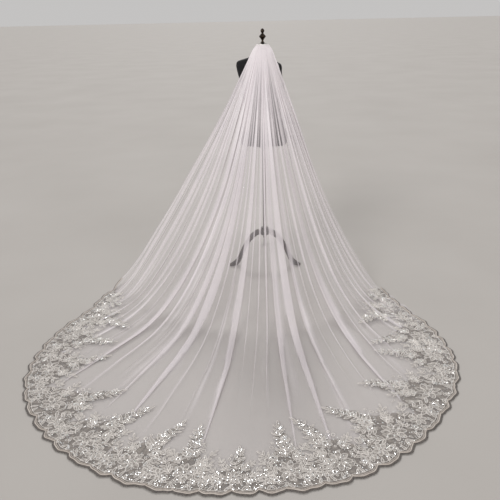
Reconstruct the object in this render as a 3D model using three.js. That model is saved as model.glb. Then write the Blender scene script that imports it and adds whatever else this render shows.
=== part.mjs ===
// A cathedral bridal veil hung from the back of the neck of a limbless dress form.
// Millimetres, +Z up. While the pieces are made the form's upright is the Z axis,
// the train runs towards -Y, and a bearing is the angle from -Y towards +X in degrees.
import * as THREE from 'three';
import { mergeVertices } from 'three/addons/utils/BufferGeometryUtils.js';

// ---- Driving dimensions ----
const TOP_HEIGHT = 1555;      // gathered top edge of the veil above the floor
const TOP_RADIUS = 58;        // that edge lies on this circle round the neck
const LEFT_EDGE = -62;        // bearings of the veil's two long edges
const RIGHT_EDGE = 60;
const WALL = 2;               // tulle with its small creases
const TOP_WALL = 9;           // the same cloth where it is gathered most
const TOP_FLUTE = 0.1;        // the folds' height at the gathered edge
const WALL_THINS = 300;       // radius at which the wall has thinned to one layer
const GATHER_START = 140;     // radius at which the gathers start to open
const GATHER_END = 420;       // radius at which they have opened out
const SEAM_GAP = 0.4;         // between neighbouring stretches of cloth
const TRAIN_START = 1080;     // radius at which the fall becomes the train
const LEAST_TRAIN = 150;      // shortest stretch of train along a long edge
const TRAIN_LIFT = 9;         // room under the train's folds
const LACE_WALL = 1;
const LACE_CLEAR = { hem: 1.2, inner: 12 };     // the lace bridges the last of the folds
const LACE_DEPTH = { valley: 140, tip: 430 };   // how far the lace reaches in from the hem
const LACE_STEP = 80;         // its longest step along the hem
const LACE_MARGIN = 20;       // tulle left bare inside the deepest lace
const LACE_PITCH = 290;       // from one lace point to the next along the hem
const SCALLOP = { pitch: 125, least: 7, most: 24, wall: 1.6 };
const TORSO_BOTTOM = 900;
const NECK_TOP = 1572;
const HUB = { top: 262, bottom: 196, radius: 30 };
const POLE_RADIUS = 12.5;
const LEG_WIDTH = 18;
const LEG_BEARINGS = [-56, 64, 184];
const GAP = 0.3;              // between touching hard pieces
const HEM_GAP = 0.9;          // between the tulle and its corded edge

// ---- Materials ----
const paint = (color, roughness, metalness = 0) =>
  new THREE.MeshStandardMaterial({ color, roughness, metalness, side: THREE.DoubleSide });
const MATERIALS = {
  tulle: paint('#ece6e6', 0.75),
  lace: paint('#f3f0ec', 0.6),
  cord: paint('#f7f5f1', 0.4),
  ribbon: paint('#f5f1ee', 0.45),
  comb: paint('#dcd9d3', 0.3),
  jersey: paint('#17161a', 0.9),
  bronze: paint('#2a211c', 0.35, 0.7),
};

const model = new THREE.Group();

function add(name, geometry, material) {
  const mesh = new THREE.Mesh(geometry, MATERIALS[material]);
  mesh.name = name;
  model.add(mesh);
  return mesh;
}

// ---- Small sums ----
const rad = THREE.MathUtils.degToRad;
const mix = THREE.MathUtils.lerp;
const clamp = THREE.MathUtils.clamp;
const ease = (low, high, x) => THREE.MathUtils.smoothstep(x, low, high);

// Reads a table of rows, sorted by `key`, at x; straight lines between rows.
function readTable(rows, key, column, x) {
  if (x <= rows[0][key]) return rows[0][column];
  for (let i = 1; i < rows.length; i += 1) {
    if (x <= rows[i][key]) {
      const t = (x - rows[i - 1][key]) / (rows[i][key] - rows[i - 1][key]);
      return mix(rows[i - 1][column], rows[i][column], t);
    }
  }
  return rows[rows.length - 1][column];
}

// ---- The hem's outline on the floor ----
// It is nearly a circle round a point on the train. `turn` is the angle round that point
// from -Y towards +X, and `reach` the distance to the hem.
const TRAIN_CENTRE = 1300;
const HEM = [
  { turn: -128, reach: 1247 },
  { turn: -118, reach: 1196 },
  { turn: -110, reach: 1146 },
  { turn: -100, reach: 1166 },
  { turn: -70, reach: 1205 },
  { turn: -50, reach: 1161 },
  { turn: -20, reach: 1092 },
  { turn: 5, reach: 1038 },
  { turn: 30, reach: 1062 },
  { turn: 60, reach: 1076 },
  { turn: 85, reach: 1118 },
  { turn: 105, reach: 1096 },
  { turn: 120, reach: 1074 },
  { turn: 133, reach: 1130 },
];

const hemOutline = [];
for (let turn = HEM[0].turn; turn <= HEM[HEM.length - 1].turn; turn += 1) {
  const reach = readTable(HEM, 'turn', 'reach', turn);
  const x = reach * Math.sin(rad(turn));
  const back = TRAIN_CENTRE + reach * Math.cos(rad(turn));
  hemOutline.push({ bearing: THREE.MathUtils.radToDeg(Math.atan2(x, back)), radius: Math.hypot(x, back) });
}
hemOutline.sort((a, b) => a.bearing - b.bearing);
const hemRadius = (bearing) => readTable(hemOutline, 'bearing', 'radius', bearing);

// ---- How the cloth falls from the neck to the floor ----
// `touch` is the radius where it reaches the floor, `sag` how hollow the fall is.
const FALL = [
  { bearing: -62, touch: 1206, sag: 1.32 },
  { bearing: 0, touch: 1150, sag: 1.5 },
  { bearing: 60, touch: 1030, sag: 1.5 },
];

function fallHeight(bearing, radius) {
  const touch = readTable(FALL, 'bearing', 'touch', bearing);
  const sag = readTable(FALL, 'bearing', 'sag', bearing);
  const share = clamp((radius - TOP_RADIUS) / (touch - TOP_RADIUS), 0, 1);
  return TOP_HEIGHT * (1 - share) ** sag;
}

// ---- The folds, from the left edge to the right edge ----
// near, mid and far are the fold's bearings 500, 1000 and 1500 mm from the upright.
// Over 1, full doubles the cloth back on itself. depth is its height in mm, over says
// which side lies on top, and reach is the radius where it has melted into the train.
const FOLDS = [
  { near: -59, mid: -58.5, far: -57, full: 0.5, depth: 6, over: 1, reach: 1000 },
  { near: -54.5, mid: -54, far: -53, full: 0.7, depth: 8, over: 1, reach: 1050 },
  { near: -49.5, mid: -50, far: -48, full: 2.2, depth: 8, over: -1, reach: 1100 },
  { near: -45, mid: -45.5, far: -44, full: 0.7, depth: 8, over: 1, reach: 1250 },
  { near: -40.5, mid: -41, far: -40, full: 2.0, depth: 8, over: 1, reach: 1250 },
  { near: -36, mid: -36.5, far: -35, full: 0.7, depth: 8, over: 1, reach: 1350 },
  { near: -26, mid: -30.4, far: -29.5, full: 3.2, depth: 9, over: -1, reach: 1650 },
  { near: -21.5, mid: -25.5, far: -24.5, full: 0.7, depth: 8, over: 1, reach: 1500 },
  { near: -19.5, mid: -20.8, far: -20.4, full: 2.4, depth: 8, over: 1, reach: 1600 },
  { near: -15.5, mid: -16.1, far: -14.6, full: 3.2, depth: 9, over: 1, reach: 1800 },
  { near: -10.5, mid: -10.7, far: -9.5, full: 0.8, depth: 8, over: -1, reach: 1600 },
  { near: -4.8, mid: -5.6, far: -3.5, full: 3.0, depth: 9, over: -1, reach: 1800 },
  { near: 2.5, mid: 3.2, far: 2.5, full: 0.8, depth: 8, over: 1, reach: 1500 },
  { near: 6.5, mid: 7.8, far: 6.9, full: 2.4, depth: 8, over: 1, reach: 1800 },
  { near: 11.5, mid: 12.6, far: 12.8, full: 2.8, depth: 9, over: -1, reach: 1800 },
  { near: 16, mid: 17, far: 16, full: 2.4, depth: 8, over: 1, reach: 1500 },
  { near: 21, mid: 21.8, far: 20, full: 0.8, depth: 8, over: 1, reach: 1600 },
  { near: 27.5, mid: 27.9, far: 24.4, full: 3.2, depth: 9, over: 1, reach: 1600 },
  { near: 35, mid: 33.5, far: 31, full: 0.8, depth: 8, over: -1, reach: 1250 },
  { near: 42.7, mid: 42, far: 38, full: 2.2, depth: 8, over: 1, reach: 1100 },
  { near: 50.4, mid: 50, far: 48, full: 2.0, depth: 8, over: -1, reach: 950 },
  { near: 56, mid: 56, far: 54, full: 0.6, depth: 6, over: 1, reach: 850 },
];
const FAR_OUT = 2000;       // radius at which each column's bearing picks its place on the hem
const MELTS_FROM = 0.6;     // share of a fold's reach at which it starts to melt away
const LIFT_ENDS = { from: 0.6, to: 0.75 };   // shares of the ray over which the train comes down
const FOLD_OPENS = { from: 300, to: 480 };   // radii between which the folds spread from the gathers

function foldBearing(fold, radius) {
  if (radius < 1000) return mix(fold.near, fold.mid, ease(500, 1000, radius));
  return mix(fold.mid, fold.far, ease(1000, 1500, radius));
}

// Bearing of the line between fold k - 1 and fold k.
function foldEdge(k, radius) {
  if (k <= 0) return LEFT_EDGE;
  if (k >= FOLDS.length) return RIGHT_EDGE;
  return (foldBearing(FOLDS[k - 1], radius) + foldBearing(FOLDS[k], radius)) / 2;
}

// Middle of the cloth at a place across (0 to FOLDS.length, one fold to a unit) and a share
// of the way out along its ray (0 at the neck, 1 at the hem).
function clothPoint(across, share) {
  const k = clamp(Math.floor(across), 0, FOLDS.length - 1);
  const fold = FOLDS[k];
  const t = 2 * (across - k) - 1;
  const hem = hemRadius(mix(foldEdge(k, FAR_OUT), foldEdge(k + 1, FAR_OUT), across - k));
  const radius = mix(TOP_RADIUS, hem, share);
  const left = foldEdge(k, radius);
  const right = foldEdge(k + 1, radius);
  const opened = ease(FOLD_OPENS.from, FOLD_OPENS.to, radius);
  const leftOver = 1 - ease(MELTS_FROM * fold.reach, fold.reach, radius);
  const half = (right - left) / 2;
  const swing = half * fold.full * opened * leftOver * Math.sin(Math.PI * t) / Math.PI;
  const bearing = (left + right) / 2 + half * t - swing;
  const depth = mix(TOP_FLUTE, fold.depth, ease(GATHER_START, GATHER_END, radius)) * Math.sqrt(leftOver);
  const proud = depth * fold.over * Math.sin(Math.PI * t);
  const slope = (fallHeight(bearing, radius - 1) - fallHeight(bearing, radius + 1)) / 2;
  const tilt = Math.atan(slope);
  const lift = WALL / 2 + TRAIN_LIFT * (1 - ease(LIFT_ENDS.from, LIFT_ENDS.to, share));
  const out = radius + proud * Math.sin(tilt);
  return new THREE.Vector3(
    out * Math.sin(rad(bearing)),
    -out * Math.cos(rad(bearing)),
    fallHeight(bearing, radius) + lift + proud * Math.cos(tilt),
  );
}

function clothNormal(across, share) {
  const along = clothPoint(across, share + 1e-4).sub(clothPoint(across, share - 1e-4));
  const sideways = clothPoint(across + 1e-4, share).sub(clothPoint(across - 1e-4, share));
  return along.cross(sideways).normalize();
}

// ---- Closed walls ----
// `front` and `back` are grids of points with the same rows and columns.
function wallSolid(front, back) {
  const rows = front.length;
  const columns = front[0].length;
  const points = [...front.flat(), ...back.flat()];
  const index = [];
  const f = (i, j) => i * columns + j;
  const b = (i, j) => rows * columns + f(i, j);
  const quad = (p, q, r, s) => index.push(p, q, r, p, r, s);
  for (let i = 0; i + 1 < rows; i += 1) {
    for (let j = 0; j + 1 < columns; j += 1) {
      quad(f(i, j), f(i + 1, j), f(i + 1, j + 1), f(i, j + 1));
      quad(b(i, j), b(i, j + 1), b(i + 1, j + 1), b(i + 1, j));
    }
    quad(f(i, 0), b(i, 0), b(i + 1, 0), f(i + 1, 0));
    quad(b(i + 1, columns - 1), b(i, columns - 1), f(i, columns - 1), f(i + 1, columns - 1));
  }
  for (let j = 0; j + 1 < columns; j += 1) {
    quad(f(0, j), f(0, j + 1), b(0, j + 1), b(0, j));
    quad(f(rows - 1, j), b(rows - 1, j), b(rows - 1, j + 1), f(rows - 1, j + 1));
  }
  const geometry = new THREE.BufferGeometry();
  geometry.setAttribute('position', new THREE.Float32BufferAttribute(points.flatMap((p) => p.toArray()), 3));
  geometry.setIndex(index);
  const solid = turnOut(mergeVertices(geometry, 1e-4));
  solid.computeVertexNormals();
  return solid;
}

// Makes every face look out, whichever way round the grids were.
function turnOut(geometry) {
  const p = geometry.getAttribute('position');
  const index = geometry.getIndex();
  const [a, b, c] = [new THREE.Vector3(), new THREE.Vector3(), new THREE.Vector3()];
  let volume = 0;
  for (let i = 0; i < index.count; i += 3) {
    a.fromBufferAttribute(p, index.getX(i));
    b.fromBufferAttribute(p, index.getX(i + 1));
    c.fromBufferAttribute(p, index.getX(i + 2));
    volume += a.dot(b.cross(c));
  }
  if (volume < 0) {
    for (let i = 0; i < index.count; i += 3) {
      const keep = index.getX(i + 1);
      index.setX(i + 1, index.getX(i + 2));
      index.setX(i + 2, keep);
    }
  }
  return geometry;
}

// ---- The veil's stretches ----
// The tulle is one piece of cloth. It is built in five stretches, each from one line between
// folds to another, and each in a fall and a train.
const STRETCHES = [
  { name: 'left_edge', first: 0, last: 6 },
  { name: 'left', first: 6, last: 10 },
  { name: 'middle', first: 10, last: 14 },
  { name: 'right', first: 14, last: 17 },
  { name: 'right_edge', first: 17, last: FOLDS.length },
];
const FALL_ROWS = 7;
const TRAIN_ROWS = 4;
const ROW_SPREAD = 1.3;       // over 1, the fall's rows lie closer near the neck
const SEAM_SHARE = 1e-4;      // share of the ray left open between fall and train
const FULL_FOLD = [0, 0.15, 0.305, 0.435, 0.565, 0.695, 0.85];   // places across a doubled fold
const SOFT_FOLD = [0, 0.25, 0.5, 0.75];

function placesAcross(stretch) {
  const places = [];
  for (let k = stretch.first; k < stretch.last; k += 1) {
    const steps = FOLDS[k].full > 1 ? FULL_FOLD : SOFT_FOLD;
    for (const step of steps) places.push(k + step);
  }
  places.push(stretch.last);
  return places;
}

// Share of the ray at which the fall ends and the train starts.
function seamShare(across) {
  const k = clamp(Math.floor(across), 0, FOLDS.length - 1);
  const hem = hemRadius(mix(foldEdge(k, FAR_OUT), foldEdge(k + 1, FAR_OUT), across - k));
  const seam = Math.min(TRAIN_START, hem - LEAST_TRAIN);
  return (seam - TOP_RADIUS) / (hem - TOP_RADIUS);
}

// Front and back grids of one stretch between two shares of every ray.
function clothGrids(places, rows, shareAt) {
  const front = [];
  const back = [];
  const inset = 1e-6;
  for (let i = 0; i <= rows; i += 1) {
    const frontRow = [];
    const backRow = [];
    places.forEach((place, j) => {
      const across = clamp(place, places[0] + inset, places[places.length - 1] - inset);
      const share = shareAt(across, i / rows);
      const middle = clothPoint(across, share);
      const normal = clothNormal(across, share);
      if (j === 0 || j === places.length - 1) {
        const side = new THREE.Vector3(-middle.y, middle.x, 0).normalize();
        middle.addScaledVector(side, (j === 0 ? 1 : -1) * SEAM_GAP / 2);
      }
      const radius = Math.hypot(middle.x, middle.y);
      const half = mix(TOP_WALL, WALL, ease(TOP_RADIUS, WALL_THINS, radius)) / 2;
      frontRow.push(middle.clone().addScaledVector(normal, half));
      backRow.push(middle.clone().addScaledVector(normal, -half));
    });
    front.push(frontRow);
    back.push(backRow);
  }
  for (const point of [...front.flat(), ...back.flat()]) point.z = Math.max(point.z, 0);
  return { front, back };
}

function fallShare(across, step) {
  return seamShare(across) * step ** ROW_SPREAD - (step === 1 ? SEAM_SHARE : 0);
}

function trainShare(across, step) {
  return mix(seamShare(across) + SEAM_SHARE, 1, step);
}

// A point on the train's upper face, between its grid points.
function onTrain(grid, row, column) {
  const i = clamp(Math.floor(row), 0, grid.length - 2);
  const j = clamp(Math.floor(column), 0, grid[0].length - 2);
  const upper = grid[i][j].clone().lerp(grid[i][j + 1], column - j);
  const lower = grid[i + 1][j].clone().lerp(grid[i + 1][j + 1], column - j);
  return upper.lerp(lower, row - i);
}

// How far along the hem each grid column stands.
function hemStations(lastRow) {
  const stations = [0];
  for (let j = 1; j < lastRow.length; j += 1) {
    stations.push(stations[j - 1] + lastRow[j].distanceTo(lastRow[j - 1]));
  }
  return stations;
}

// Places along the hem: every grid column, and more between them, at most `step` apart.
function hemPlaces(stations, step) {
  const places = [];
  for (let j = 0; j + 1 < stations.length; j += 1) {
    const parts = Math.ceil((stations[j + 1] - stations[j]) / step);
    for (let k = 0; k < parts; k += 1) {
      places.push({ column: j + k / parts, distance: mix(stations[j], stations[j + 1], k / parts) });
    }
  }
  const last = stations.length - 1;
  places.push({ column: last - 1e-6, distance: stations[last] });
  return places;
}

// The lace border lies on the train: a wall whose inner edge runs in points.
function laceBorder(train, stations) {
  const length = stations[stations.length - 1];
  const points = Math.max(1, Math.round(length / LACE_PITCH));
  const rows = 2;
  const grids = { under: [], over: [] };
  for (let i = 0; i <= rows; i += 1) {
    grids.under.push([]);
    grids.over.push([]);
    for (const { column, distance } of hemPlaces(stations, LACE_STEP)) {
      const peak = (1 - Math.cos(2 * Math.PI * points * distance / length)) / 2;
      const reach = mix(LACE_DEPTH.valley, LACE_DEPTH.tip, peak);
      const ray = onTrain(train, 0, column).distanceTo(onTrain(train, TRAIN_ROWS, column));
      const inland = Math.min(reach, ray - LACE_MARGIN) / ray;
      const foot = onTrain(train, TRAIN_ROWS * (1 - inland * (1 - i / rows)) - 0.02, column);
      const clear = mix(LACE_CLEAR.inner, LACE_CLEAR.hem, i / rows);
      grids.under[i].push(foot.clone().setZ(foot.z + clear));
      grids.over[i].push(foot.clone().setZ(foot.z + clear + LACE_WALL));
    }
  }
  return wallSolid(grids.over, grids.under);
}

// The corded, scalloped edge runs round outside the tulle's hem.
function hemEdge(train, stations) {
  const length = stations[stations.length - 1];
  const scallops = Math.max(1, Math.round(length / SCALLOP.pitch));
  const grids = { over: [[], []], under: [[], []] };
  for (const { column, distance } of hemPlaces(stations, SCALLOP.pitch / 3)) {
    const foot = onTrain(train, TRAIN_ROWS, column);
    const away = new THREE.Vector3(foot.x, foot.y + TRAIN_CENTRE, 0).normalize();
    const bulge = Math.abs(Math.sin(Math.PI * scallops * distance / length));
    const width = mix(SCALLOP.least, SCALLOP.most, bulge);
    [HEM_GAP, width].forEach((distanceOut, i) => {
      const place = foot.clone().addScaledVector(away, distanceOut);
      grids.over[i].push(place.clone().setZ(foot.z - WALL + SCALLOP.wall));
      grids.under[i].push(place.clone().setZ(foot.z - WALL));
    });
  }
  return wallSolid(grids.over, grids.under);
}

for (const stretch of STRETCHES) {
  const places = placesAcross(stretch);
  const fall = clothGrids(places, FALL_ROWS, fallShare);
  const train = clothGrids(places, TRAIN_ROWS, trainShare);
  const stations = hemStations(train.front[TRAIN_ROWS]);
  add(`veil_fall_${stretch.name}`, wallSolid(fall.front, fall.back), 'tulle');
  add(`veil_train_${stretch.name}`, wallSolid(train.front, train.back), 'tulle');
  add(`lace_border_${stretch.name}`, laceBorder(train.front, stations), 'lace');
  add(`hem_edge_${stretch.name}`, hemEdge(train.front, stations), 'cord');
}

// ---- What holds the veil at the neck ----
// The ribbon that binds the gathered top edge.
const RIBBON = { inner: 52, outer: 64, height: 5, rise: 16, halfAngle: 63 };
function ribbon() {
  const outline = new THREE.Shape();
  const start = rad(270 - RIBBON.halfAngle);
  const end = rad(270 + RIBBON.halfAngle);
  outline.absarc(0, 0, RIBBON.outer, start, end, false);
  outline.absarc(0, 0, RIBBON.inner, end, start, true);
  const solid = new THREE.ExtrudeGeometry(outline, {
    depth: RIBBON.height,
    bevelEnabled: false,
    curveSegments: 24,
  });
  return solid.translate(0, 0, TOP_HEIGHT + RIBBON.rise);
}
add('top_ribbon', ribbon(), 'ribbon');

// The comb behind the gathers: a bar with teeth, bent round the neck.
const COMB = { radius: 51, thickness: 1.2, teeth: 13, pitch: 6, tooth: 2, bar: 10, length: 46 };
function comb() {
  const outline = new THREE.Shape();
  const width = COMB.teeth * COMB.pitch;
  const toothTop = COMB.length - COMB.bar;
  outline.moveTo(0, COMB.length);
  for (let k = 0; k < COMB.teeth; k += 1) {
    const x = k * COMB.pitch;
    outline.lineTo(x, k === 0 ? 0 : toothTop);
    outline.lineTo(x, 0);
    outline.lineTo(x + COMB.tooth, 0);
    outline.lineTo(x + COMB.tooth, toothTop);
  }
  const last = (COMB.teeth - 1) * COMB.pitch + COMB.tooth;
  for (let k = COMB.teeth - 1; k > 0; k -= 1) {
    outline.lineTo(last - (COMB.teeth - 1 - k) * COMB.pitch, COMB.length);
  }
  const solid = new THREE.ExtrudeGeometry(outline, { depth: COMB.thickness, bevelEnabled: false });
  const p = solid.getAttribute('position');
  for (let i = 0; i < p.count; i += 1) {
    const angle = (p.getX(i) - width / 2) / COMB.radius;
    const radius = COMB.radius - COMB.thickness / 2 + p.getZ(i);
    const height = p.getY(i) + TOP_HEIGHT - COMB.length;
    p.setXYZ(i, radius * Math.sin(angle), -radius * Math.cos(angle), height);
  }
  return solid;
}
add('veil_comb', comb(), 'comb');

// ---- The dress form ----
// Rows are level sections: half its width, and how far chest and back stand from the upright.
const TORSO = [
  { height: TORSO_BOTTOM, half: 160, chest: 100, back: 88 },
  { height: 930, half: 170, chest: 108, back: 96 },
  { height: 985, half: 166, chest: 106, back: 94 },
  { height: 1050, half: 140, chest: 95, back: 76 },
  { height: 1105, half: 122, chest: 88, back: 66 },
  { height: 1170, half: 130, chest: 98, back: 74 },
  { height: 1240, half: 146, chest: 124, back: 86 },
  { height: 1285, half: 150, chest: 126, back: 90 },
  { height: 1335, half: 153, chest: 104, back: 88 },
  { height: 1380, half: 161, chest: 84, back: 78 },
  { height: 1415, half: 168, chest: 70, back: 68 },
  { height: 1442, half: 171, chest: 60, back: 59 },
  { height: 1462, half: 157, chest: 54, back: 52 },
  { height: 1478, half: 120, chest: 50, back: 47 },
  { height: 1492, half: 86, chest: 46, back: 44 },
  { height: 1508, half: 60, chest: 43, back: 42 },
  { height: 1526, half: 47, chest: 42, back: 41 },
  { height: NECK_TOP, half: 43, chest: 41, back: 41 },
];
const TORSO_SIDES = 36;
const SQUARENESS = 0.86;    // under 1, the sections are fuller than an ellipse

function torso() {
  const rings = TORSO.map((row) => {
    const ring = [];
    for (let j = 0; j < TORSO_SIDES; j += 1) {
      const angle = 2 * Math.PI * j / TORSO_SIDES;
      const c = Math.cos(angle);
      const s = Math.sin(angle);
      const depth = s > 0 ? row.chest : row.back;
      ring.push(new THREE.Vector3(
        row.half * Math.sign(c) * Math.abs(c) ** SQUARENESS,
        depth * Math.sign(s) * Math.abs(s) ** SQUARENESS,
        row.height,
      ));
    }
    return ring;
  });
  return ringSolid(rings);
}

// A closed body through level rings, with flat ends.
function ringSolid(rings) {
  const sides = rings[0].length;
  const points = rings.flat();
  const index = [];
  for (let i = 0; i + 1 < rings.length; i += 1) {
    for (let j = 0; j < sides; j += 1) {
      const a = i * sides + j;
      const b = i * sides + (j + 1) % sides;
      index.push(a, b, b + sides, a, b + sides, a + sides);
    }
  }
  const bottom = points.push(new THREE.Vector3(0, 0, rings[0][0].z)) - 1;
  const top = points.push(new THREE.Vector3(0, 0, rings[rings.length - 1][0].z)) - 1;
  const last = (rings.length - 1) * sides;
  for (let j = 0; j < sides; j += 1) {
    const next = (j + 1) % sides;
    index.push(bottom, next, j);
    index.push(top, last + j, last + next);
  }
  const geometry = new THREE.BufferGeometry();
  geometry.setAttribute('position', new THREE.Float32BufferAttribute(points.flatMap((p) => p.toArray()), 3));
  geometry.setIndex(index);
  const solid = turnOut(geometry);
  solid.computeVertexNormals();
  return solid;
}
add('form_torso', torso(), 'jersey');

// Turned pieces: rows are radius and height from the bottom axis point to the top one.
function turned(rows, sides = 32) {
  const profile = rows.map((row) => new THREE.Vector2(row.radius, row.height));
  return new THREE.LatheGeometry(profile, sides).rotateX(Math.PI / 2);
}

const CAP_TOP = NECK_TOP + 18;
add('form_neck_cap', turned([
  { radius: 0, height: NECK_TOP + GAP },
  { radius: 40, height: NECK_TOP + GAP },
  { radius: 42.5, height: NECK_TOP + 2 },
  { radius: 40, height: NECK_TOP + 6 },
  { radius: 28, height: NECK_TOP + 12 },
  { radius: 12, height: CAP_TOP - 1.5 },
  { radius: 0, height: CAP_TOP },
]), 'bronze');

add('form_finial', turned([
  { radius: 0, height: CAP_TOP + GAP },
  { radius: 15, height: CAP_TOP + GAP },
  { radius: 15, height: CAP_TOP + 3 },
  { radius: 8, height: CAP_TOP + 8 },
  { radius: 6.5, height: CAP_TOP + 16 },
  { radius: 10, height: CAP_TOP + 24 },
  { radius: 22, height: CAP_TOP + 38 },
  { radius: 23, height: CAP_TOP + 42 },
  { radius: 20, height: CAP_TOP + 47 },
  { radius: 8, height: CAP_TOP + 59 },
  { radius: 6.5, height: CAP_TOP + 63 },
  { radius: 11, height: CAP_TOP + 69 },
  { radius: 13.5, height: CAP_TOP + 76 },
  { radius: 11, height: CAP_TOP + 84 },
  { radius: 6, height: CAP_TOP + 90 },
  { radius: 0, height: CAP_TOP + 93 },
]), 'bronze');

add('form_pole', turned([
  { radius: 0, height: HUB.top + GAP },
  { radius: POLE_RADIUS, height: HUB.top + GAP },
  { radius: POLE_RADIUS, height: TORSO_BOTTOM - 34 },
  { radius: 20, height: TORSO_BOTTOM - 26 },
  { radius: 46, height: TORSO_BOTTOM - 14 },
  { radius: 46, height: TORSO_BOTTOM - GAP },
  { radius: 0, height: TORSO_BOTTOM - GAP },
]), 'bronze');

add('form_hub', turned([
  { radius: 0, height: HUB.bottom - 34 },
  { radius: 7, height: HUB.bottom - 30 },
  { radius: 12, height: HUB.bottom - 18 },
  { radius: 9, height: HUB.bottom - 8 },
  { radius: 24, height: HUB.bottom },
  { radius: HUB.radius, height: HUB.bottom + 5 },
  { radius: HUB.radius, height: HUB.top - 6 },
  { radius: 22, height: HUB.top },
  { radius: 0, height: HUB.top },
]), 'bronze');

// Each leg is cut from flat stock: out from the hub, down, and out again to a flat foot.
function leg() {
  const inner = HUB.radius + 1;
  const outline = new THREE.Shape();
  outline.moveTo(inner, 252);
  outline.bezierCurveTo(118, 262, 190, 150, 226, 74);
  outline.bezierCurveTo(244, 40, 272, 30, 306, 18);
  outline.lineTo(306, 0);
  outline.lineTo(256, 0);
  outline.bezierCurveTo(228, 8, 212, 36, 198, 66);
  outline.bezierCurveTo(158, 150, 104, 214, inner, 214);
  outline.closePath();
  const solid = new THREE.ExtrudeGeometry(outline, { depth: LEG_WIDTH, bevelEnabled: false, curveSegments: 8 });
  return solid.translate(0, 0, -LEG_WIDTH / 2).rotateX(Math.PI / 2);
}
LEG_BEARINGS.forEach((bearing, k) => {
  const mesh = add(`form_leg_${k + 1}`, leg(), 'bronze');
  mesh.rotation.z = rad(bearing - 90);
});

// ---- The part's own frame: its origin is the middle of the bottom of its box ----
const box = new THREE.Box3().setFromObject(model, true);
const part = new THREE.Group();
const middle = box.getCenter(new THREE.Vector3());
model.position.set(-middle.x, -middle.y, -box.min.z);
part.add(model);
part.updateMatrixWorld(true);

export default part;
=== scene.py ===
from math import atan2, cos, pi, radians, sin

import bpy
import numpy as np
from mathutils import Matrix, Vector


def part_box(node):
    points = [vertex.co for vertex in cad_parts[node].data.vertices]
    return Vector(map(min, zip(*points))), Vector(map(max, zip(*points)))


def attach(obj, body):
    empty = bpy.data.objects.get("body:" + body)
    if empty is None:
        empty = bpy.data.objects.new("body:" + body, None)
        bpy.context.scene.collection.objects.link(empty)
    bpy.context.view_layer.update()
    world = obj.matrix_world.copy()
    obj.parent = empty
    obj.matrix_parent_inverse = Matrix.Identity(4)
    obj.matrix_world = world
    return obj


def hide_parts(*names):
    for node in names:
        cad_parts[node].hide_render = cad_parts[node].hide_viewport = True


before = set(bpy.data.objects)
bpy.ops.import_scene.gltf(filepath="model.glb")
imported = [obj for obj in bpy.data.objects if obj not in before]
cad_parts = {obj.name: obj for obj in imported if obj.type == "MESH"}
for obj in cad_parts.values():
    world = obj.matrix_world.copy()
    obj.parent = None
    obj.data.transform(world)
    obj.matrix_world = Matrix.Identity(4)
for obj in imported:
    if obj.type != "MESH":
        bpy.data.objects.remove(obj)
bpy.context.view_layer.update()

# ---- Camera ----
# A 40 mm lens at standing height, past the end of the train and looking down along it.
# Everything is measured from the dress form's upright: the train runs towards -Y from it,
# and a bearing is the angle from -Y towards +X.
pole_low, pole_high = (Vector(corner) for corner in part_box("form_pole"))
UPRIGHT = Vector(((pole_low.x + pole_high.x) / 2, (pole_low.y + pole_high.y) / 2, 0))

camera = bpy.data.objects.new("camera", bpy.data.cameras.new("camera"))
bpy.context.collection.objects.link(camera)
bpy.context.scene.camera = camera
camera.data.sensor_width = 36
camera.data.lens = 39.8
camera.location = UPRIGHT + Vector((0.285, -3.99, 1.75))
heading = radians(-5.76)
pitch = radians(22.8)
roll = radians(1.3)
ahead = Vector((sin(heading) * cos(pitch), cos(heading) * cos(pitch), -sin(pitch)))
right = ahead.cross(Vector((0, 0, 1))).normalized()
above = right.cross(ahead)
tilted_right = right * cos(roll) - above * sin(roll)
tilted_above = above * cos(roll) + right * sin(roll)
camera.rotation_mode = "QUATERNION"
axes = Matrix((tilted_right, tilted_above, -ahead)).transposed()
camera.rotation_quaternion = axes.to_quaternion()


# ---- Floor and light ----
# A plain pale studio floor that runs on to the horizon, under an even sky. A broad lamp
# stands high on the camera's left, a weak one on its right and one beyond the dress form.
def material(name):
    made = bpy.data.materials.new(name)
    made.use_nodes = True
    shader = made.node_tree.nodes["Principled BSDF"]
    return made, made.node_tree, shader


def noise(tree, scale, detail=3.0, stretch=(1, 1, 1)):
    """A noise texture in object space, scale in cells a metre."""
    place = tree.nodes.new("ShaderNodeTexCoord")
    squeeze = tree.nodes.new("ShaderNodeMapping")
    squeeze.inputs["Scale"].default_value = stretch
    texture = tree.nodes.new("ShaderNodeTexNoise")
    texture.inputs["Scale"].default_value = scale
    texture.inputs["Detail"].default_value = detail
    tree.links.new(place.outputs["Object"], squeeze.inputs["Vector"])
    tree.links.new(squeeze.outputs["Vector"], texture.inputs["Vector"])
    return texture.outputs["Fac"]


def colours(tree, factor, *stops):
    """A colour ramp: stops are (place, red, green, blue)."""
    ramp = tree.nodes.new("ShaderNodeValToRGB")
    while len(ramp.color_ramp.elements) < len(stops):
        ramp.color_ramp.elements.new(0.5)
    for element, (place, *rgb) in zip(ramp.color_ramp.elements, stops):
        element.position = place
        element.color = (*rgb, 1)
    tree.links.new(factor, ramp.inputs["Fac"])
    return ramp.outputs["Color"]


def bump(tree, shader, height, strength, distance):
    node = tree.nodes.new("ShaderNodeBump")
    node.inputs["Strength"].default_value = strength
    node.inputs["Distance"].default_value = distance
    tree.links.new(height, node.inputs["Height"])
    tree.links.new(node.outputs["Normal"], shader.inputs["Normal"])


def mesh_object(name, points, faces, made, smooth=True):
    mesh = bpy.data.meshes.new(name)
    mesh.from_pydata([tuple(p) for p in points], [], [tuple(f) for f in faces])
    mesh.update()
    if smooth:
        mesh.polygons.foreach_set("use_smooth", [True] * len(mesh.polygons))
    piece = bpy.data.objects.new(name, mesh)
    bpy.context.collection.objects.link(piece)
    piece.data.materials.append(made)
    return piece


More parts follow.
